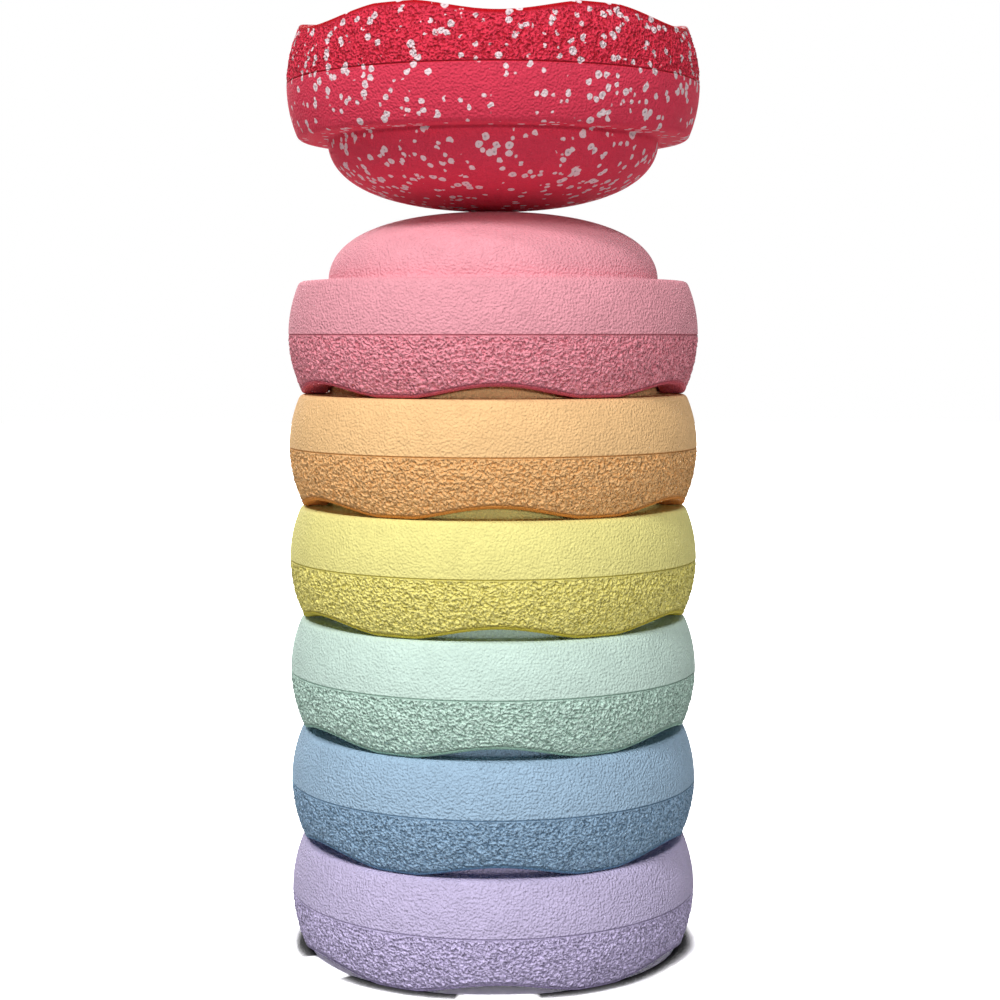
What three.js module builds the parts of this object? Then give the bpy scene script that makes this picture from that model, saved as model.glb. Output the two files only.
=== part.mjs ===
// A stack of children's balance stepping stones, in millimetres, +Z up.
// Six stones nest dome up on one axis, and a seventh lies upturned on the topmost dome.
// Each stone is one hollow foam moulding: a bulging ring with a wavy foot edge, a flat shoulder,
// a low dome above the shoulder, and a hollow below that takes the dome of the stone beneath.
// The origin is on the floor at the stack's axis, and an arch of every foot edge faces -Y.
import * as THREE from "three";

// Ring of one stone. Heights are above the soles of its feet.
const BELLY_DIAMETER = 275;
const BELLY_HEIGHT = 39;
const BELLY_ARC_RADIUS = 86;
const SHOULDER_HEIGHT = 74.7;
const SHOULDER_WIDTH = 16.2;
const SHOULDER_EDGE_RADIUS = 4.5;
const FOOT_EDGE_RADIUS = 3;

// Dome above the shoulder. The shares are the handle lengths of its curve, of radius and rise.
const DOME_RISE = 46.3;
const CROWN_HANDLE_SHARE = 0.69;
const HAUNCH_HANDLE_SHARE = 0.585;

// Wavy foot edge: arches between feet, whose tips are planed off into flat soles.
const ARCH_COUNT = 6;
const ARCH_RISE = 7.5;
const SOLE_TRIM = 0.9;

// Hollow underneath: a drafted wall, then a half-ellipse crown.
const NEST_CLEARANCE = 1.3;
const MOUTH_CHAMFER = 2;
const HOLLOW_DRAFT = 3.5;
const SHOULDER_THICKNESS = 25;
const CROWN_THICKNESS = 22;

// Stack, and the gap between a stone and what it rests on.
const SEAT_GAP = 0.3;
const FOAM_ROUGHNESS = 0.85;
const NESTED_STONES = [
  { name: "purple_stone", color: 0xc3b5dc },
  { name: "blue_stone", color: 0x8fb4cf },
  { name: "mint_stone", color: 0xbfe0d0 },
  { name: "yellow_stone", color: 0xebe17d },
  { name: "orange_stone", color: 0xf6c08a },
  { name: "pink_stone", color: 0xf09cab },
];
const UPTURNED_STONE = { name: "red_upturned_stone", color: 0xd8415f };

// Facets: spans along each stretch of the outline, and round half of one wave of the foot edge.
const SPANS = { dome: 7, shoulderEdge: 2, halfBelly: 2, footEdge: 2, hollowCrown: 4 };
const ARCH_STEPS = 3;
const SOLE_STEPS = 1;

const bellyArcCentre = BELLY_DIAMETER / 2 - BELLY_ARC_RADIUS;
const stoneHeight = SHOULDER_HEIGHT + DOME_RISE;

// Centre of an edge round that touches the belly arc from inside, at a given height.
function edgeCentre(edgeRadius, height) {
  const reach = BELLY_ARC_RADIUS - edgeRadius;
  const offset = height - BELLY_HEIGHT;
  return new THREE.Vector2(bellyArcCentre + Math.sqrt(reach * reach - offset * offset), height);
}

const shoulderEdge = edgeCentre(SHOULDER_EDGE_RADIUS, SHOULDER_HEIGHT - SHOULDER_EDGE_RADIUS);
const domeRadius = shoulderEdge.x - SHOULDER_WIDTH;
const mouthRadius = domeRadius + NEST_CLEARANCE;
const hollowTopRadius = mouthRadius - HOLLOW_DRAFT;
const hollowWallHeight = SHOULDER_HEIGHT - SHOULDER_THICKNESS;
const hollowDepth = stoneHeight - CROWN_THICKNESS;

// Direction from the belly arc's centre to an edge round's centre, which is where the two meet.
function meetingAngle(centre) {
  return Math.atan2(centre.y - BELLY_HEIGHT, centre.x - bellyArcCentre);
}

// Outline of the stone at one angle, as radius and height, from the dome's top to the hollow's.
function outline(soleHeight) {
  const footEdge = edgeCentre(FOOT_EDGE_RADIUS, soleHeight + FOOT_EDGE_RADIUS);
  const shoulderMeet = meetingAngle(shoulderEdge);
  const footMeet = meetingAngle(footEdge);
  const dome = new THREE.CubicBezierCurve(
    new THREE.Vector2(0, stoneHeight),
    new THREE.Vector2(domeRadius * CROWN_HANDLE_SHARE, stoneHeight),
    new THREE.Vector2(domeRadius, SHOULDER_HEIGHT + DOME_RISE * HAUNCH_HANDLE_SHARE),
    new THREE.Vector2(domeRadius, SHOULDER_HEIGHT),
  );
  const arc = (centre, radius, from, to) =>
    new THREE.EllipseCurve(centre.x, centre.y, radius, radius, from, to, from > to);
  const bellyCentre = new THREE.Vector2(bellyArcCentre, BELLY_HEIGHT);
  const hollowCrown = new THREE.EllipseCurve(
    0, hollowWallHeight, hollowTopRadius, hollowDepth - hollowWallHeight, 0, Math.PI / 2,
  );
  const upperBelly = arc(bellyCentre, BELLY_ARC_RADIUS, shoulderMeet, 0);
  const lowerBelly = arc(bellyCentre, BELLY_ARC_RADIUS, 0, footMeet);
  return [
    ...dome.getPoints(SPANS.dome),
    ...arc(shoulderEdge, SHOULDER_EDGE_RADIUS, Math.PI / 2, shoulderMeet).getPoints(SPANS.shoulderEdge),
    ...upperBelly.getPoints(SPANS.halfBelly).slice(1),
    ...lowerBelly.getPoints(SPANS.halfBelly).slice(1),
    ...arc(footEdge, FOOT_EDGE_RADIUS, footMeet, -Math.PI / 2).getPoints(SPANS.footEdge).slice(1),
    new THREE.Vector2(mouthRadius + MOUTH_CHAMFER, soleHeight),
    new THREE.Vector2(mouthRadius, soleHeight + MOUTH_CHAMFER),
    ...hollowCrown.getPoints(SPANS.hollowCrown),
  ];
}

// Height of the foot edge at an angle counted from the middle of an arch.
const waveHalfHeight = (ARCH_RISE + SOLE_TRIM) / 2;
function soleHeightAt(angle) {
  const wave = waveHalfHeight * (1 + Math.cos(ARCH_COUNT * angle));
  return Math.max(0, wave - SOLE_TRIM);
}

// Angles of the outlines round the stone: evenly over each arch, then over each flat sole.
function stationAngles() {
  const halfWave = Math.PI / ARCH_COUNT;
  const soleStart = Math.acos(SOLE_TRIM / waveHalfHeight - 1) / ARCH_COUNT;
  const half = [];
  for (let i = 0; i < ARCH_STEPS; i++) half.push((soleStart * i) / ARCH_STEPS);
  for (let i = 0; i < SOLE_STEPS; i++) half.push(soleStart + ((halfWave - soleStart) * i) / SOLE_STEPS);
  const wave = [...half, halfWave, ...half.slice(1).reverse().map((angle) => 2 * halfWave - angle)];
  const angles = [];
  for (let n = 0; n < ARCH_COUNT; n++) angles.push(...wave.map((angle) => 2 * halfWave * n + angle));
  return angles;
}

// Lofts the outlines round the axis into one closed skin with a pole at each end.
function stoneGeometry() {
  const angles = stationAngles();
  const outlines = angles.map((angle) => outline(soleHeightAt(angle)));
  const rows = outlines[0].length - 2;
  const positions = [0, 0, stoneHeight, 0, 0, hollowDepth];
  outlines.forEach((points, station) => {
    const east = Math.sin(angles[station]);
    const north = -Math.cos(angles[station]);
    points.slice(1, -1).forEach((point) => positions.push(point.x * east, point.x * north, point.y));
  });
  const firstRing = 2;
  const vertex = (station, row) => firstRing + (station % angles.length) * rows + row;
  const indices = [];
  for (let station = 0; station < angles.length; station++) {
    indices.push(0, vertex(station, 0), vertex(station + 1, 0));
    indices.push(1, vertex(station + 1, rows - 1), vertex(station, rows - 1));
    for (let row = 0; row < rows - 1; row++) {
      const corners = [
        vertex(station, row), vertex(station, row + 1), vertex(station + 1, row + 1), vertex(station + 1, row),
      ];
      indices.push(corners[0], corners[1], corners[2], corners[0], corners[2], corners[3]);
    }
  }
  const geometry = new THREE.BufferGeometry();
  geometry.setAttribute("position", new THREE.Float32BufferAttribute(positions, 3));
  geometry.setIndex(indices);
  geometry.computeVertexNormals();
  return geometry;
}

function stoneMesh({ name, color }, geometry) {
  const material = new THREE.MeshStandardMaterial({ color, roughness: FOAM_ROUGHNESS, metalness: 0 });
  const mesh = new THREE.Mesh(geometry, material);
  mesh.name = name;
  return mesh;
}

// Nested stones, each a pitch above the last, then the upturned one with its dome on the top dome.
function stoneStack() {
  const stack = new THREE.Group();
  const geometry = stoneGeometry();
  const pitch = SHOULDER_HEIGHT + SEAT_GAP;
  NESTED_STONES.forEach((stone, level) => {
    const mesh = stoneMesh(stone, geometry);
    mesh.position.z = level * pitch;
    stack.add(mesh);
  });
  const topOfNest = (NESTED_STONES.length - 1) * pitch + stoneHeight;
  const upturned = stoneMesh(UPTURNED_STONE, geometry);
  upturned.rotation.x = Math.PI;
  upturned.position.z = topOfNest + SEAT_GAP + stoneHeight;
  stack.add(upturned);
  return stack;
}

export default stoneStack();
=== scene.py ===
# A tower of moulded bead-foam balance stones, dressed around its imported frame.
# Lengths are in metres and angles in radians, apart from names that say otherwise.
# Each stone is shaped in its own frame, with its soles at zero and its dome up, and then set in place.
import math

import bpy
import numpy as np
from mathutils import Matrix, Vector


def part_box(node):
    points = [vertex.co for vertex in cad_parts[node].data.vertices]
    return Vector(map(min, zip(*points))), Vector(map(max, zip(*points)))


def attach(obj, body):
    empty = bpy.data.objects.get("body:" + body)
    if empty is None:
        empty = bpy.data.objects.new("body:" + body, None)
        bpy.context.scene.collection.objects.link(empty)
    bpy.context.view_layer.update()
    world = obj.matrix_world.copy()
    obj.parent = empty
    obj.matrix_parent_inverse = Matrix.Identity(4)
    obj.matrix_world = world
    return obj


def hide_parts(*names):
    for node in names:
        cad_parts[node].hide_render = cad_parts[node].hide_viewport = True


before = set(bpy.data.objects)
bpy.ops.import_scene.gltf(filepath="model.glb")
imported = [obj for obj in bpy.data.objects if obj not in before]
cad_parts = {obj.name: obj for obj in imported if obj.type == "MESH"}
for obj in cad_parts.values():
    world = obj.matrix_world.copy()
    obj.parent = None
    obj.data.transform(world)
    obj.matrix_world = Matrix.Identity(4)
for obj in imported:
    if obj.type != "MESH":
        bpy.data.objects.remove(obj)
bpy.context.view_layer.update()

MM = 0.001

# Ring of one stone. Heights are above the soles.
stone_low, stone_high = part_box("purple_stone")
BELLY_RADIUS = (stone_high.x - stone_low.x) / 2
STONE_HEIGHT = stone_high.z - stone_low.z
BELLY_HEIGHT = 39 * MM
BELLY_ARC_RADIUS = 86 * MM
SHOULDER_HEIGHT = 74.7 * MM
SHOULDER_WIDTH = 16.2 * MM
SHOULDER_EDGE_RADIUS = 4.5 * MM
FOOT_EDGE_RADIUS = 3 * MM

# Dome, as a curve whose handles are shares of its radius and rise.
DOME_RISE = STONE_HEIGHT - SHOULDER_HEIGHT
CROWN_HANDLE_SHARE = 0.69
HAUNCH_HANDLE_SHARE = 0.585

# Wavy foot edge.
ARCH_COUNT = 6
ARCH_RISE = 7.5 * MM
SOLE_TRIM = 0.9 * MM

# Hollow underneath.
NEST_CLEARANCE = 1.3 * MM
MOUTH_ROUND = 2 * MM
HOLLOW_DRAFT = 3.5 * MM
SHOULDER_THICKNESS = 25 * MM
CROWN_THICKNESS = 22 * MM

# Points round the rings of the mesh. Each count is a multiple of the next one down.
GRAIN_POINTS = 1260
BELLY_POINTS = 630
DOME_POINTS = 315
UNDER_POINTS = 210

# Rows along each stretch of the outline.
DOME_ROWS = 36
SHOULDER_ROWS = 5
SHOULDER_EDGE_ROWS = 4
UPPER_BELLY_ROWS = 15
PARTING_ROWS = 8
LOWER_BELLY_ROWS = 44
FOOT_EDGE_ROWS = 3
SOLE_ROWS = 4
MOUTH_ROWS = 3
WALL_ROWS = 7
CROWN_ROWS = 13

# Parting line: a groove, with the grained foot zone standing a little proud below it, and the place of a
# painted highlight on the lip below the groove.
PARTING_BAND = 1.2 * MM
GROOVE_DEPTH = 0.7 * MM
GROOVE_WIDTH = 0.45 * MM
LIP_HIGHLIGHT_PLACE = 1.1 * MM
SKIN_INSET = 0.25 * MM

# Width of the band along the foot edge where shade and a deeper bounce colour are painted.
FOOT_SHADE_BAND_WIDTH = 0.8 * MM

# Relief of the mesh: crumpled grain on the foot zone, made of a coarse and a finer noise.
GRAIN_CELL = 2 * MM
GRAIN_DEPTH = 1.5 * MM
GRAIN_FADE = 1.2 * MM
GRAIN_FINER_SHARE = 0.3
WARP_CELL = 7 * MM
WARP_REACH = 1.5 * MM

# Seeded noise: how many a stone has, how many slopes each has, and what makes it swing from -1 to 1.
RELIEF_NOISES = 5
NOISE_SLOPES = 256
NOISE_SWING = 2.2

# Finer relief and the beads, which the shader makes.
BEAD_SIZE = 3.2 * MM
FINE_BUMP_SIZE = 1.5 * MM
GRAIN_BUMP_SIZE = 1.7 * MM
GRAIN_BUMP_DEPTH = 3.4 * MM
SEAM_BUMP_DEPTH = 0.03 * MM
MOTTLE_SIZE = 16 * MM

# Detail of the shader's noises, in octaves.
BUMP_DETAIL = 0.5
MOTTLE_DETAIL = 3
ROUGH_DETAIL = 2

# Ranges of noises and labels that are stretched to the whole range of what they drive.
MOTTLE_RANGE = (0.3, 0.7)
ROUGH_RANGE = (0.3, 0.7)
RIDGE_RANGE = (0.32, 0.54)
GROOVE_RANGE = (0.2, 0.9)
LIP_HIGHLIGHT_RANGE = (0.3, 1)

# Width of the seams as a share of their beads.
SEAM_SHARE = 0.12

# Shades of the colour, from low to high: over the mottle, from bead to bead, and over the coarse grain,
# where they are painted shade in its lows and a painted highlight on its ridges.
MOTTLE_SHADES = (0.96, 1.03)
BEAD_SHADES = (0.97, 1.02)
GRAIN_SHADE_AND_HIGHLIGHT = (0.67, 1.25)

# Shades on the seams of the beads, painted shade in the groove, a painted highlight on the lip below it,
# and painted shade on the band along the foot edge.
SEAM_SHADE = 0.96
GROOVE_PAINTED_SHADE = 0.58
LIP_PAINTED_HIGHLIGHT = 1.2
FOOT_BAND_PAINTED_SHADE = 0.8

# Strongest part of a colour that the shades may reach.
BRIGHTEST = 0.98

# Richness of the colour as multiples of a stone's own: painted bounce light in the lows of the grain, and
# painted shade with bounce light on the foot band and in the groove.
PIT_PAINTED_RICHNESS = 3
PAINTED_SHADE_RICHNESS = 5

# Gloss of the foam: its roughness from low to high, and its specular level.
ROUGHNESS = (0.78, 0.92)
SPECULAR_LEVEL = 0.15

# Flecks of the red stone: a share of the beads is pale, and so are most of those along some strings.
FLECK_BEAD_SIZE = 4.6 * MM
FLECK_SHARE = 0.12
FLECK_STRING_SIZE = 14 * MM
FLECK_STRING_LEVEL = 0.42
FLECK_STRING_SPREAD = 0.04
FLECK_STRING_SHARE = 0.75
FLECK_WOBBLE_SIZE = 3 * MM
FLECK_WOBBLE = 1.6 * MM

# Radii of the flecks and the width of their edge, as shares of their beads.
FLECK_REACHES = (0.36, 0.5)
FLECK_STRING_REACH = 0.56
FLECK_EDGE = (-0.03, 0.05)

# Looks of the flecks: least shade, sRGB colours of the rim and the heart, and how deep inside the heart is.
FLECK_SHADE = 0.95
FLECK_RIM = (250, 226, 231)
FLECK_HEART = (200, 176, 182)
FLECK_HEART_RANGE = (0.33, 0.46)

# Camera fitted to the photograph. Its distance is from the tower's axis, and its lens is in millimetres.
CAMERA_DISTANCE = 1.37244
CAMERA_SIDE = 4.58 * MM
CAMERA_HEIGHT = 0.41466
CAMERA_SWING_DEGREES = -1.5
CAMERA_TILT_DEGREES = 4.68
CAMERA_SENSOR_MM = 36
CAMERA_LENS_MM = 73.08
CAMERA_NEAR = 0.1
CAMERA_FAR = 50

# Lamps: name, azimuth, elevation, strength, and how wide the lamp looks. Angles are in degrees.
LAMPS = [
    ("front", 4, 48, 1.14, 12),
    ("key", -30, 50, 1.45, 9),
    ("side", -72, 50, 0.58, 5),
    ("low", 5, 6, 0.9, 4),
    ("right", 150, 20, 0.5, 20),
    ("back", 196, 15, 1.7, 25),
]

# World: how much light it sheds, and the white that it shows.
WORLD_SHED = 0.02
WHITE = (1, 1, 1, 1)

# Floor: half its width, how bright it looks, and how much light it throws back.
FLOOR_HALF = 8
FLOOR_SHOWN = 3.5
FLOOR_SHED = 0.35

# Painted contact shadow where the stone meets the floor, outside a radius: the less open the floor, the
# darker it is.
CONTACT_REACH = 16 * MM
CONTACT_RADIUS = 125 * MM
CONTACT_SAMPLES = 8
CONTACT_RANGE = (0.6, 0.85)
CONTACT_SHADE = 0.02

# The painted shadow is left out under the arches, up to a line on the right, over a range of the foot
# edge's wave.
OPEN_SIDE = 60 * MM
OPEN_RANGE = (0.3, 0.6)

belly_arc_centre = BELLY_RADIUS - BELLY_ARC_RADIUS
wave_half_height = (ARCH_RISE + SOLE_TRIM) / 2


def edge_centre(edge_radius, height):
    """Radius at which an edge round touches the belly arc from inside, with its centre at a height."""
    reach = BELLY_ARC_RADIUS - edge_radius
    return belly_arc_centre + np.sqrt(reach**2 - (height - BELLY_HEIGHT) ** 2)


shoulder_edge_height = SHOULDER_HEIGHT - SHOULDER_EDGE_RADIUS
shoulder_edge_centre = edge_centre(SHOULDER_EDGE_RADIUS, shoulder_edge_height)
dome_radius = shoulder_edge_centre - SHOULDER_WIDTH
mouth_radius = dome_radius + NEST_CLEARANCE
hollow_top_radius = mouth_radius - HOLLOW_DRAFT
hollow_wall_height = SHOULDER_HEIGHT - SHOULDER_THICKNESS
hollow_depth = STONE_HEIGHT - CROWN_THICKNESS


def sole_height(angles):
    """Height of the foot edge round the stone: arches between flat soles."""
    wave = wave_half_height * (1 + np.cos(ARCH_COUNT * angles))
    return np.maximum(0, wave - SOLE_TRIM)


def mix(start, end, share):
    """The value a share of the way from a start to an end."""
    return start + (end - start) * share


def on_arc(centre_r, centre_z, radius, turn):
    """Radius, height and outward normal of points on a convex arc, turned from level."""
    cos, sin = np.cos(turn), np.sin(turn)
    return centre_r + radius * cos, centre_z + radius * sin, cos, sin


def on_line(start_r, start_z, end_r, end_z, share):
    """Radius, height and outward normal of points on a straight stretch, with its left side inside."""
    run, rise = end_r - start_r, end_z - start_z
    length = np.hypot(run, rise)
    return start_r + run * share, start_z + rise * share, -rise / length, run / length


def on_dome(share):
    """Radius, height and outward normal on the dome's curve, from its top to its foot."""
    far = 1 - share
    r = 3 * far**2 * share * CROWN_HANDLE_SHARE + 3 * far * share**2 + share**3
    z = far**3 + 3 * far**2 * share + 3 * far * share**2 * HAUNCH_HANDLE_SHARE
    slope_r = 3 * far**2 * CROWN_HANDLE_SHARE + 6 * far * share * (1 - CROWN_HANDLE_SHARE)
    slope_z = 6 * far * share * (HAUNCH_HANDLE_SHARE - 1) - 3 * share**2 * HAUNCH_HANDLE_SHARE
    slope_r, slope_z = slope_r * dome_radius, slope_z * DOME_RISE
    length = math.hypot(slope_r, slope_z)
    return r * dome_radius, SHOULDER_HEIGHT + z * DOME_RISE, -slope_z / length, slope_r / length


def on_crown(share):
    """Radius, height and normal on the hollow's crown, from its wall towards its top."""
    rise = hollow_depth - hollow_wall_height
    cos, sin = math.cos(share * math.pi / 2), math.sin(share * math.pi / 2)
    length = math.hypot(cos / hollow_top_radius, sin / rise)
    normal = -cos / hollow_top_radius / length, -sin / rise / length
    return hollow_top_radius * cos, hollow_wall_height + rise * sin, *normal


def shares(rows):
    """Shares of a stretch's length at which its rows lie, past its start and up to its end."""
    return [(row + 1) / rows for row in range(rows)]


def ring_angles(count):
    """Angles of a ring's points, counted from the middle of the front arch."""
    return np.arange(count) * 2 * math.pi / count


def meeting_turn(edge_radius, height):
    """Turn on the belly arc at which it meets an edge round."""
    return np.arctan2(height - BELLY_HEIGHT, edge_centre(edge_radius, height) - belly_arc_centre)


def upper_rings():
    """Rings from the dome's top down to the parting band. Each is its points' angles, their form (radius,
    height and the two parts of the outward normal), and how far they lie below the parting line and above
    the foot edge."""
    far_from_grain = (-BELLY_ARC_RADIUS, 0)
    angles = ring_angles(DOME_POINTS)
    for share in shares(DOME_ROWS):
        yield angles, on_dome(share), far_from_grain
    for share in shares(SHOULDER_ROWS):
        radius = mix(dome_radius, shoulder_edge_centre, share)
        yield angles, (radius, SHOULDER_HEIGHT, 0, 1), far_from_grain
    angles = ring_angles(BELLY_POINTS)
    shoulder_turn = meeting_turn(SHOULDER_EDGE_RADIUS, shoulder_edge_height)
    for share in shares(SHOULDER_EDGE_ROWS):
        turn = mix(math.pi / 2, shoulder_turn, share)
        form = on_arc(shoulder_edge_centre, shoulder_edge_height, SHOULDER_EDGE_RADIUS, turn)
        yield angles, form, far_from_grain
    for share in shares(UPPER_BELLY_ROWS):
        turn = mix(shoulder_turn, PARTING_BAND / BELLY_ARC_RADIUS, share)
        form = on_arc(belly_arc_centre, BELLY_HEIGHT, BELLY_ARC_RADIUS, turn)
        yield angles, form, (-BELLY_ARC_RADIUS * turn, 0)


def grained_rings():
    """Rings of the parting band, the grained foot zone and the foot edge, as upper_rings gives them."""
    angles = ring_angles(GRAIN_POINTS)
    edge_height = sole_height(angles) + FOOT_EDGE_RADIUS
    foot_turn = meeting_turn(FOOT_EDGE_RADIUS, edge_height)
    parting_turn = PARTING_BAND / BELLY_ARC_RADIUS
    turns = [mix(parting_turn, -parting_turn, share) for share in shares(PARTING_ROWS)]
    turns += [mix(-parting_turn, foot_turn, share) for share in shares(LOWER_BELLY_ROWS)]
    for turn in turns:
        form = on_arc(belly_arc_centre, BELLY_HEIGHT, BELLY_ARC_RADIUS, turn)
        yield angles, form, (-BELLY_ARC_RADIUS * turn, BELLY_ARC_RADIUS * (turn - foot_turn))
    below = BELLY_ARC_RADIUS * -foot_turn
    for share in shares(FOOT_EDGE_ROWS):
        turn = mix(foot_turn, -math.pi / 2, share)
        form = on_arc(edge_centre(FOOT_EDGE_RADIUS, edge_height), edge_height, FOOT_EDGE_RADIUS, turn)
        yield angles, form, (below, 0)


def under_rings():
    """Rings of the soles and the hollow, as upper_rings gives them."""
    at_foot = (BELLY_ARC_RADIUS, 0)
    in_hollow = (BELLY_ARC_RADIUS, -BELLY_ARC_RADIUS)
    angles = ring_angles(UNDER_POINTS)
    soles = sole_height(angles)
    sole_edge = edge_centre(FOOT_EDGE_RADIUS, soles + FOOT_EDGE_RADIUS)
    mouth_centre = mouth_radius + MOUTH_ROUND
    for share in shares(SOLE_ROWS):
        yield angles, (mix(sole_edge, mouth_centre, share), soles, 0, -1), at_foot
    for share in shares(MOUTH_ROWS):
        turn = mix(-math.pi / 2, -math.pi, share)
        yield angles, on_arc(mouth_centre, soles + MOUTH_ROUND, MOUTH_ROUND, turn), at_foot
    wall = (mouth_radius, soles + MOUTH_ROUND, hollow_top_radius, hollow_wall_height)
    for share in shares(WALL_ROWS):
        yield angles, on_line(*wall, share), in_hollow
    for share in shares(CROWN_ROWS)[:-1]:
        yield angles, on_crown(share), in_hollow


def bridge(upper, lower):
    """Faces between two rings of vertex numbers, facing out. One ring may be a few times as fine."""
    if len(upper) == len(lower):
        return np.stack([upper, lower, np.roll(lower, -1), np.roll(upper, -1)], axis=1).tolist()
    turned = len(upper) < len(lower)
    fine, wide = (lower, upper) if turned else (upper, lower)
    ratio = len(fine) // len(wide)
    half = ratio // 2
    faces = []
    for place in range(len(wide)):
        ends = (wide[place], wide[(place + 1) % len(wide)])
        edge = [fine[(place * ratio + step) % len(fine)] for step in range(ratio + 1)]
        fan = [[edge[step], ends[step >= half], edge[step + 1]] for step in range(ratio)]
        fan.append([edge[half], *ends])
        faces += [face[::-1] for face in fan] if turned else fan
    return faces


def bare_stone():
    """One stone without relief: its points, outward normals, distances to the grain's edges, and faces."""
    points = [[[0, 0, STONE_HEIGHT]]]
    normals = [[[0, 0, 1]]]
    distances = [[[-BELLY_ARC_RADIUS, 0]]]
    faces = []
    last, total = None, 1
    for angles, form, distance in (*upper_rings(), *grained_rings(), *under_rings()):
        r, z, normal_r, normal_z, below, above, angles = np.broadcast_arrays(*form, *distance, angles)
        east, north = np.sin(angles), -np.cos(angles)
        points.append(np.stack([r * east, r * north, z], axis=1))
        normals.append(np.stack([normal_r * east, normal_r * north, normal_z], axis=1))
        distances.append(np.stack([below, above], axis=1))
        ring = np.arange(total, total + len(angles))
        if last is None:
            faces += np.stack([np.zeros_like(ring), ring, np.roll(ring, -1)], axis=1).tolist()
        else:
            faces += bridge(last, ring)
        last, total = ring, total + len(ring)
    points.append([[0, 0, hollow_depth]])
    normals.append([[0, 0, -1]])
    distances.append([[BELLY_ARC_RADIUS, -BELLY_ARC_RADIUS]])
    faces += np.stack([np.full_like(last, total), np.roll(last, -1), last], axis=1).tolist()
    return np.concatenate(points), np.concatenate(normals), np.concatenate(distances), faces


def smooth_noise(points, cell, seed):
    """Seeded gradient noise that swings about as far as -1 and 1 over each two cells."""
    random = np.random.default_rng(seed)
    table = random.permutation(NOISE_SLOPES)
    slopes = random.normal(size=(NOISE_SLOPES, 3))
    slopes /= np.linalg.norm(slopes, axis=1)[:, None]
    scaled = points / cell
    corner = np.floor(scaled).astype(int)
    offset = scaled - corner
    fade = offset**3 * (offset * (offset * 6 - 15) + 10)
    total = np.zeros(len(points))
    for shift in np.ndindex(2, 2, 2):
        x, y, z = (corner + shift).T % NOISE_SLOPES
        slope = slopes[table[(table[(table[x] + y) % NOISE_SLOPES] + z) % NOISE_SLOPES]]
        weight = np.prod(np.where(shift, fade, 1 - fade), axis=1)
        total += ((offset - shift) * slope).sum(axis=1) * weight
    return total * NOISE_SWING


def relief(points, distances, seed):
    """How deep each point lies under the bare outline, and the shares that the shader reads."""
    below, above = distances.T
    grained = np.clip(np.minimum(below, above) / GRAIN_FADE, 0, 1)
    skin = np.clip(-below / GRAIN_FADE, 0, 1)
    *warp_seeds, coarse_seed, finer_seed = range(seed, seed + RELIEF_NOISES)
    warp = [smooth_noise(points, WARP_CELL, warp_seed) for warp_seed in warp_seeds]
    warped = points + WARP_REACH * np.stack(warp, axis=1)
    coarse = smooth_noise(warped, GRAIN_CELL, coarse_seed)
    finer = smooth_noise(warped, GRAIN_CELL / 2, finer_seed)
    crumple = coarse + GRAIN_FINER_SHARE * finer
    pit = grained * np.clip((1 - crumple) / 2, 0, 1)
    groove = np.exp(-((below / GROOVE_WIDTH) ** 2))
    # Where the painted highlight on the lip below the groove goes.
    lip = np.exp(-(((below - LIP_HIGHLIGHT_PLACE) / GROOVE_WIDTH) ** 2))
    depth = GRAIN_DEPTH * pit + SKIN_INSET * skin + GROOVE_DEPTH * groove
    # Where painted shade and a deeper bounce colour go along the foot edge.
    foot_edge = np.exp(-((above / FOOT_SHADE_BAND_WIDTH) ** 2)) * (below > 0)
    return depth, {"grained": grained, "groove": groove, "lip": lip, "foot_edge": foot_edge}


def new_stone(name, node, body, upturned, seed, bare, material):
    """Builds one stone's mesh in the place of its node."""
    points, normals, distances, faces = bare
    depth, labelled = relief(points, distances, seed)
    local = points - normals * depth[:, None]
    low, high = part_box(node)
    placed = local * [1, -1, -1] + [0, 0, high.z] if upturned else local + [0, 0, low.z]
    mesh = bpy.data.meshes.new(name)
    mesh.from_pydata(placed.tolist(), [], faces)
    for label, values in labelled.items():
        mesh.attributes.new(label, "FLOAT", "POINT").data.foreach_set("value", values.astype(np.float32))
    mesh.shade_smooth()
    mesh.materials.append(material)
    piece = bpy.data.objects.new(name, mesh)
    bpy.context.scene.collection.objects.link(piece)
    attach(piece, body)
    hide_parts(node)
    return piece


def add_node(tree, kind, links=None, **settings):
    """Adds a shader node. links gives its sockets a value, or another node's output."""
    node = tree.nodes.new("ShaderNode" + kind)
    for name, value in settings.items():
        setattr(node, name, value)
    for socket, value in (links or {}).items():
        if isinstance(value, bpy.types.NodeSocket):
            tree.links.new(value, node.inputs[socket])
        else:
            node.inputs[socket].default_value = value
    return node


def noise(tree, place, size, detail):
    """Noise from 0 to 1 whose blobs are about a size across."""
    return add_node(tree, "TexNoise", {"Vector": place, "Scale": 1 / size, "Detail": detail}).outputs["Fac"]


def remap(tree, value, from_low, from_high, to_low, to_high):
    """A value stretched from one range to another, and held inside it."""
    ranges = {"From Min": from_low, "From Max": from_high, "To Min": to_low, "To Max": to_high}
    return add_node(tree, "MapRange", {"Value": value, **ranges}).outputs["Result"]


def maths(tree, operation, first, second=0, third=0):
    """The result of an operation on values. COMPARE takes its tolerance as the third."""
    return add_node(tree, "Math", {0: first, 1: second, 2: third}, operation=operation).outputs[0]


def product(tree, first, *others):
    """The product of values."""
    for other in others:
        first = maths(tree, "MULTIPLY", first, other)
    return first


def raised(tree, value, share, low, high):
    """1 where a share is 0, and from low to high with the value where it is 1."""
    return maths(tree, "ADD", product(tree, remap(tree, value, 0, 1, low - 1, high - 1), share), 1)


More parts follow.
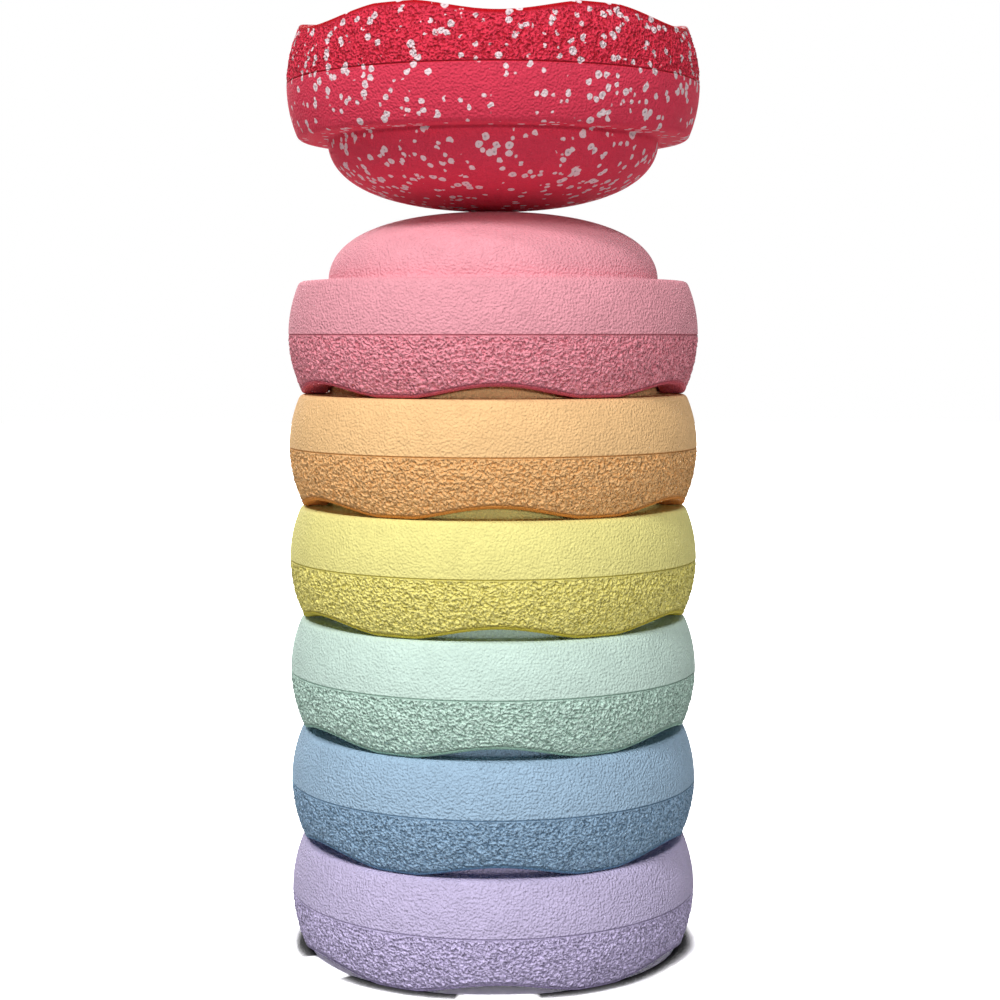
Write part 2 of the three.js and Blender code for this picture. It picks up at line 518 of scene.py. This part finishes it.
def blend(tree, share, first, second):
    """Mixes two colours."""
    node = add_node(tree, "Mix", {"Factor": share}, data_type="RGBA")
    for socket, value in ((node.inputs[6], first), (node.inputs[7], second)):
        if isinstance(value, bpy.types.NodeSocket):
            tree.links.new(value, socket)
        else:
            socket.default_value = value
    return node.outputs[2]


def shaded(tree, tint, share, strongest):
    """A colour times a number, held where its strongest part reaches the brightest that foam gets."""
    held = maths(tree, "MINIMUM", share, BRIGHTEST / strongest)
    return add_node(tree, "VectorMath", {0: tint, "Scale": held}, operation="SCALE").outputs[0]


def richer(base, share):
    """A colour whose weaker parts are turned down by a share of what they lack to its strongest one."""
    strongest = max(base[:3])
    return tuple(part * (1 - share * (1 - part / strongest)) for part in base[:3]) + (1,)


def colour(red, green, blue):
    """A shader colour from sRGB parts of 0 to 255."""
    parts = []
    for part in (red, green, blue):
        share = part / 255
        parts.append(share / 12.92 if share <= 0.04045 else ((share + 0.055) / 1.055) ** 2.4)
    return (*parts, 1)


def shifted(tree, place, cell, reach):
    """A place moved about by noise, up to half the reach each way."""
    noise_middle = (0.5, 0.5, 0.5)
    wobble = add_node(tree, "TexNoise", {"Vector": place, "Scale": 1 / cell}).outputs["Color"]
    centred = add_node(tree, "VectorMath", {0: wobble, 1: noise_middle}, operation="SUBTRACT").outputs[0]
    shift = add_node(tree, "VectorMath", {0: centred, "Scale": reach}, operation="SCALE").outputs[0]
    return add_node(tree, "VectorMath", {0: place, 1: shift}, operation="ADD").outputs[0]


def bead_seams(tree, place):
    """1 on the seams between the beads, and 0 inside them."""
    sockets = {"Vector": place, "Scale": 1 / BEAD_SIZE}
    edges = add_node(tree, "TexVoronoi", sockets, feature="DISTANCE_TO_EDGE").outputs["Distance"]
    return remap(tree, edges, 0, SEAM_SHARE, 1, 0)


def bead_draws(tree, place):
    """A number from 0 to 1 for each bead."""
    beads = add_node(tree, "TexVoronoi", {"Vector": place, "Scale": 1 / BEAD_SIZE}).outputs
    return add_node(tree, "SeparateColor", {"Color": beads["Color"]}).outputs["Red"]


def foam_shade(tree, place, labels, seam, ridge, grain_painted_light):
    """What the foam's colour is multiplied by, with painted light and shade on the grain, groove, lip and
    foot band.
    """
    mottle = noise(tree, place, MOTTLE_SIZE, MOTTLE_DETAIL)
    # Painted shade in the grain's lows and a painted highlight on its ridges, over the grain's painted
    # light level.
    low, high = (grain_painted_light * ridge_shade for ridge_shade in GRAIN_SHADE_AND_HIGHLIGHT)
    return product(
        tree,
        remap(tree, mottle, *MOTTLE_RANGE, *MOTTLE_SHADES),
        remap(tree, bead_draws(tree, place), 0, 1, *BEAD_SHADES),
        remap(tree, seam, 0, 1, 1, SEAM_SHADE),
        raised(tree, ridge, labels["grained"], low, high),
        # Painted shade in the groove, a painted highlight on the lip, and painted shade on the foot band.
        remap(tree, labels["groove"], *GROOVE_RANGE, 1, GROOVE_PAINTED_SHADE),
        remap(tree, labels["lip"], *LIP_HIGHLIGHT_RANGE, 1, LIP_PAINTED_HIGHLIGHT),
        remap(tree, labels["foot_edge"], 0, 1, 1, FOOT_BAND_PAINTED_SHADE),
    )


def foam_tint(tree, labels, ridge, base, painted_richness):
    """The foam's colour before its shade, with painted bounce colour richer in the grain and deep painted
    shade in the groove and on the foot band.
    """
    # Deep colour of painted shade and bounce light, for the groove and the foot band.
    painted_shade_tint = tuple(part ** (1 + PAINTED_SHADE_RICHNESS * painted_richness) for part in base[:3]) + (1,)
    # Painted bounce colour: the grain is richer in colour, most in its lows.
    grain_bounce_tint = blend(tree, ridge, richer(base, PIT_PAINTED_RICHNESS * painted_richness), richer(base, painted_richness))
    plain = blend(tree, labels["grained"], base, grain_bounce_tint)
    return blend(tree, maths(tree, "MAXIMUM", labels["foot_edge"], labels["groove"]), plain, painted_shade_tint)


def with_flecks(tree, place, shade, tint):
    """A colour with the pale beads of the flecked stone laid over it."""
    moved = shifted(tree, place, FLECK_WOBBLE_SIZE, FLECK_WOBBLE)
    beads = add_node(tree, "TexVoronoi", {"Vector": moved, "Scale": 1 / FLECK_BEAD_SIZE}).outputs
    draws = add_node(tree, "SeparateColor", {"Color": beads["Color"]}).outputs
    alone = maths(tree, "LESS_THAN", draws["Red"], FLECK_SHARE)
    level = noise(tree, beads["Position"], FLECK_STRING_SIZE, 0)
    strung = maths(tree, "COMPARE", level, FLECK_STRING_LEVEL, FLECK_STRING_SPREAD)
    strung = product(tree, strung, maths(tree, "LESS_THAN", draws["Blue"], FLECK_STRING_SHARE))
    reach = remap(tree, draws["Green"], 0, 1, *FLECK_REACHES)
    reach = maths(tree, "MAXIMUM", reach, product(tree, strung, FLECK_STRING_REACH))
    inside = maths(tree, "SUBTRACT", reach, beads["Distance"])
    picked = maths(tree, "MAXIMUM", alone, strung)
    fleck = product(tree, picked, remap(tree, inside, *FLECK_EDGE, 0, 1))

    rim, heart = colour(*FLECK_RIM), colour(*FLECK_HEART)
    middle = remap(tree, inside, *FLECK_HEART_RANGE, 0, 1)
    pale_shade = maths(tree, "MAXIMUM", shade, FLECK_SHADE)
    pale = shaded(tree, blend(tree, middle, rim, heart), pale_shade, max(rim[:3]))
    return blend(tree, fleck, tint, pale)


def foam_height(tree, place, grained, seam, crumple, fine_depth):
    """Height of the finer relief: a fine skin, the seams of the beads, and the crumpled grain."""
    fine = product(tree, noise(tree, place, FINE_BUMP_SIZE, BUMP_DETAIL), fine_depth)
    skin = maths(tree, "ADD", fine, product(tree, seam, -SEAM_BUMP_DEPTH))
    return maths(tree, "ADD", skin, product(tree, crumple, GRAIN_BUMP_DEPTH, grained))


def foam_material(slot, flecked, base, fine_depth, grain_painted_light, painted_richness):
    """Matt bead foam: beads with faint seams, a fine skin, and a crumpled grain on the foot zone."""
    material = bpy.data.materials.new(slot)
    material.use_nodes = True
    tree = material.node_tree
    place = add_node(tree, "TexCoord").outputs["Object"]
    labels = {
        label: add_node(tree, "Attribute", attribute_name=label).outputs["Fac"]
        for label in ("grained", "groove", "lip", "foot_edge")
    }
    seam = bead_seams(tree, place)
    warped = shifted(tree, place, WARP_CELL, 2 * WARP_REACH)
    crumple = noise(tree, warped, GRAIN_BUMP_SIZE, BUMP_DETAIL)
    ridge = remap(tree, crumple, *RIDGE_RANGE, 0, 1)

    shade = foam_shade(tree, place, labels, seam, ridge, grain_painted_light)
    tint = shaded(tree, foam_tint(tree, labels, ridge, base, painted_richness), shade, max(base[:3]))
    if flecked:
        tint = with_flecks(tree, place, shade, tint)
    rough = remap(tree, noise(tree, place, BEAD_SIZE, ROUGH_DETAIL), *ROUGH_RANGE, *ROUGHNESS)
    height = foam_height(tree, place, labels["grained"], seam, crumple, fine_depth)
    bump = add_node(tree, "Bump", {"Height": height, "Strength": 1, "Distance": 1})

    shader = tree.nodes["Principled BSDF"]
    shader.inputs["Specular IOR Level"].default_value = SPECULAR_LEVEL
    tree.links.new(tint, shader.inputs["Base Color"])
    tree.links.new(rough, shader.inputs["Roughness"])
    tree.links.new(bump.outputs["Normal"], shader.inputs["Normal"])
    return material


def add_camera():
    """Camera fitted to the photograph: level with the tower's upper half and looking a little down."""
    swing = math.radians(CAMERA_SWING_DEGREES)
    tilt = math.radians(CAMERA_TILT_DEGREES)
    camera = bpy.data.objects.new("camera", bpy.data.cameras.new("camera"))
    camera.data.sensor_width = CAMERA_SENSOR_MM
    camera.data.lens = CAMERA_LENS_MM
    camera.data.clip_start = CAMERA_NEAR
    camera.data.clip_end = CAMERA_FAR
    camera.location = (
        CAMERA_SIDE * math.cos(swing) + CAMERA_DISTANCE * math.sin(swing),
        CAMERA_SIDE * math.sin(swing) - CAMERA_DISTANCE * math.cos(swing),
        CAMERA_HEIGHT,
    )
    camera.rotation_euler = (math.pi / 2 - tilt, 0, swing)
    bpy.context.scene.collection.objects.link(camera)
    bpy.context.scene.camera = camera


def add_sun(name, azimuth_degrees, elevation_degrees, strength, spread_degrees):
    """A far lamp. Azimuth 0 lights from the front and 90 from the right."""
    lamp = bpy.data.lights.new(name, "SUN")
    lamp.energy = strength
    lamp.angle = math.radians(spread_degrees)
    azimuth, elevation = math.radians(azimuth_degrees), math.radians(elevation_degrees)
    item = bpy.data.objects.new(name, lamp)
    item.location = (
        math.sin(azimuth) * math.cos(elevation),
        -math.cos(azimuth) * math.cos(elevation),
        math.sin(elevation),
    )
    item.rotation_euler = (-item.location).to_track_quat("-Z", "Y").to_euler()
    bpy.context.scene.collection.objects.link(item)


def seen_directly(tree):
    """1 for what the camera, a gloss or a clear surface sees, and 0 for the light it sheds."""
    path = add_node(tree, "LightPath").outputs
    seen = maths(tree, "ADD", path["Is Camera Ray"], path["Is Glossy Ray"])
    return maths(tree, "MINIMUM", maths(tree, "ADD", seen, path["Is Transmission Ray"]), 1)


def show_apart(tree, shed, shown, output):
    """Sends one shader to the light that a surface sheds, and another to what is seen of it directly."""
    both = add_node(tree, "MixShader", {0: seen_directly(tree), 1: shed.outputs[0], 2: shown.outputs[0]})
    tree.links.new(both.outputs[0], tree.nodes[output].inputs["Surface"])


def add_world():
    """Even light from all round, which looks plain white."""
    world = bpy.data.worlds.new("studio")
    world.use_nodes = True
    tree = world.node_tree
    shed = tree.nodes["Background"]
    shed.inputs["Color"].default_value = WHITE
    shed.inputs["Strength"].default_value = WORLD_SHED
    shown = add_node(tree, "Background", {"Color": WHITE, "Strength": 1})
    show_apart(tree, shed, shown, "World Output")
    bpy.context.scene.world = world


def floor_painted_shadow(tree):
    """1 on the open floor and under the stone, and nearly 0 in the painted shadow where the stone meets the
    floor.
    """
    sockets = {"Distance": CONTACT_REACH}
    openness = add_node(tree, "AmbientOcclusion", sockets, samples=CONTACT_SAMPLES).outputs["AO"]
    place = add_node(tree, "TexCoord").outputs["Object"]
    radius = add_node(tree, "VectorMath", {0: place}, operation="LENGTH").outputs["Value"]
    under = maths(tree, "LESS_THAN", radius, CONTACT_RADIUS)
    parts = add_node(tree, "SeparateXYZ", {"Vector": place}).outputs
    turns = product(tree, maths(tree, "ARCTAN2", parts["X"], parts["Y"]), ARCH_COUNT)
    arch = remap(tree, maths(tree, "COSINE", turns), *OPEN_RANGE, 0, 1)
    arch = product(tree, arch, maths(tree, "LESS_THAN", parts["X"], OPEN_SIDE))
    bright = maths(tree, "MAXIMUM", under, remap(tree, openness, *CONTACT_RANGE, CONTACT_SHADE, 1))
    return maths(tree, "MAXIMUM", bright, arch)


def floor_material():
    """Floor that looks white, with a painted contact shadow at the stone's foot, and throws little light
    up.
    """
    material = bpy.data.materials.new("floor")
    material.use_nodes = True
    tree = material.node_tree
    tree.nodes.remove(tree.nodes["Principled BSDF"])
    shown = add_node(tree, "BsdfDiffuse", {"Color": product(tree, floor_painted_shadow(tree), FLOOR_SHOWN)})
    shed = add_node(tree, "BsdfDiffuse", {"Color": (FLOOR_SHED, FLOOR_SHED, FLOOR_SHED, 1)})
    show_apart(tree, shed, shown, "Material Output")
    return material


def add_floor():
    """The floor that the tower stands on."""
    sides = (-FLOOR_HALF, FLOOR_HALF)
    corners = [(x, y, 0) for y in sides for x in sides]
    mesh = bpy.data.meshes.new("floor")
    mesh.from_pydata(corners, [], [(0, 1, 3, 2)])
    mesh.materials.append(floor_material())
    floor = bpy.data.objects.new("floor", mesh)
    bpy.context.scene.collection.objects.link(floor)


# Stones: body, node, material slot, colour, depth of the fine relief, painted light level of the grained
# foot zone, and richness of the painted bounce colour.
STONES = [
    ("purple", "purple_stone", "purple_foam", colour(200, 189, 223), 1.9 * MM, 1.03, 0.07),
    ("blue", "blue_stone", "blue_foam", colour(163, 191, 215), 1.9 * MM, 0.83, 0.17),
    ("mint", "mint_stone", "mint_foam", colour(206, 230, 219), 1.1 * MM, 0.93, 0.2),
    ("yellow", "yellow_stone", "yellow_foam", colour(240, 231, 147), 1.1 * MM, 1.1, 0.22),
    ("orange", "orange_stone", "orange_foam", colour(248, 202, 144), 1.2 * MM, 1.26, 0.22),
    ("pink", "pink_stone", "pink_foam", colour(238, 163, 175), 1.4 * MM, 1.18, 0.22),
    ("red", "red_upturned_stone", "red_flecked_foam", colour(230, 65, 91), 1.2 * MM, 0.88, 0.2),
]
UPTURNED_BODY = "red"
FLECKED_BODY = "red"
SEED_STEP = 10

bare = bare_stone()
for place, (body, node, slot, *looks) in enumerate(STONES):
    foam = foam_material(slot, body == FLECKED_BODY, *looks)
    upturned = body == UPTURNED_BODY
    piece = new_stone(node + "_foam", node, body, upturned, place * SEED_STEP, bare, foam)

add_camera()
add_floor()
add_world()
for lamp in LAMPS:
    add_sun(*lamp)
bpy.context.scene.view_settings.view_transform = "Standard"
